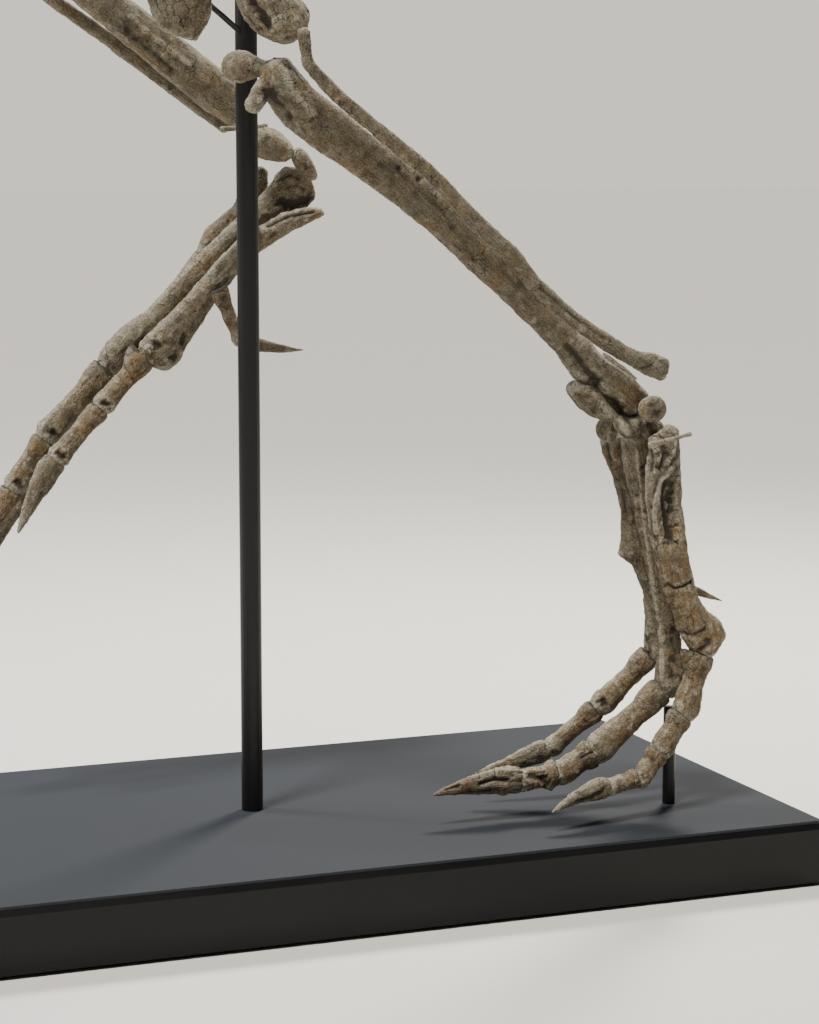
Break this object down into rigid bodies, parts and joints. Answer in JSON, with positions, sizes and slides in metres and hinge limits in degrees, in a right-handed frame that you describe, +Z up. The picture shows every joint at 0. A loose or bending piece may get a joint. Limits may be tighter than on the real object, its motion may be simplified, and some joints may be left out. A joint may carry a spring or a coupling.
{
  "type": "mounted dinosaur hind leg fossils",
  "caption": "Fossil hind legs and clawed feet of a two-legged dinosaur in a walking pose, held by slim posts on a low rectangular museum plinth.",
  "frame": {"origin": "middle of the plinth's underside", "axes": "+Z up, the animal faces -X, its left leg is nearer to -Y, +Y along the plinth's depth"},
  "size_m": [1.24, 0.612, 1.244],
  "materials": {
    "fossil_bone": "matt mineralised bone, grey-beige with ochre patches, pitted and finely cracked",
    "plinth_panel": "matt charcoal board",
    "plinth_lacquer": "satin black lacquer",
    "post_steel": "satin black paint on steel"
  },
  "bodies": {
    "root": {"ankle_arm": "post_steel", "foot_board": "plinth_lacquer", "knee_arm": "post_steel", "left_astragalus": "fossil_bone", "left_bone_splinter": "fossil_bone", "left_calcaneum": "fossil_bone", "left_femur_end": "fossil_bone", "left_fibula": "fossil_bone", "left_inner_tarsal": "fossil_bone", "left_metatarsal_1": "fossil_bone", "left_metatarsal_2": "fossil_bone", "left_metatarsal_3": "fossil_bone", "left_metatarsal_4": "fossil_bone", "left_metatarsal_5": "fossil_bone", "left_middle_tarsal": "fossil_bone", "left_outer_tarsal": "fossil_bone", "left_tibia": "fossil_bone", "left_toe_1_claw": "fossil_bone", "left_toe_1_phalanx_1": "fossil_bone", "left_toe_2_claw": "fossil_bone", "left_toe_2_phalanx_1": "fossil_bone", "left_toe_2_phalanx_2": "fossil_bone", "left_toe_3_claw": "fossil_bone", "left_toe_3_phalanx_1": "fossil_bone", "left_toe_3_phalanx_2": "fossil_bone", "left_toe_3_phalanx_3": "fossil_bone", "left_toe_4_claw": "fossil_bone", "left_toe_4_phalanx_1": "fossil_bone", "left_toe_4_phalanx_2": "fossil_bone", "left_toe_4_phalanx_3": "fossil_bone", "left_toe_4_phalanx_4": "fossil_bone", "plinth_box": "plinth_lacquer", "pubis_end": "fossil_bone", "pubis_rod": "post_steel", "right_astragalus": "fossil_bone", "right_bone_splint": "fossil_bone", "right_fibula": "fossil_bone", "right_metatarsal_1": "fossil_bone", "right_metatarsal_2": "fossil_bone", "right_metatarsal_3": "fossil_bone", "right_metatarsal_4": "fossil_bone", "right_tarsal": "fossil_bone", "right_tibia": "fossil_bone", "right_toe_1_claw": "fossil_bone", "right_toe_1_phalanx_1": "fossil_bone", "right_toe_2_claw": "fossil_bone", "right_toe_2_phalanx_1": "fossil_bone", "right_toe_2_phalanx_2": "fossil_bone", "right_toe_3_claw": "fossil_bone", "right_toe_3_phalanx_1": "fossil_bone", "right_toe_3_phalanx_2": "fossil_bone", "right_toe_3_phalanx_3": "fossil_bone", "right_toe_4_claw": "fossil_bone", "right_toe_4_phalanx_1": "fossil_bone", "right_toe_4_phalanx_2": "fossil_bone", "right_toe_4_phalanx_3": "fossil_bone", "right_toe_4_phalanx_4": "fossil_bone", "short_post": "post_steel", "tall_post": "post_steel", "top_panel": "plinth_panel"}
  },
  "joints": []
}
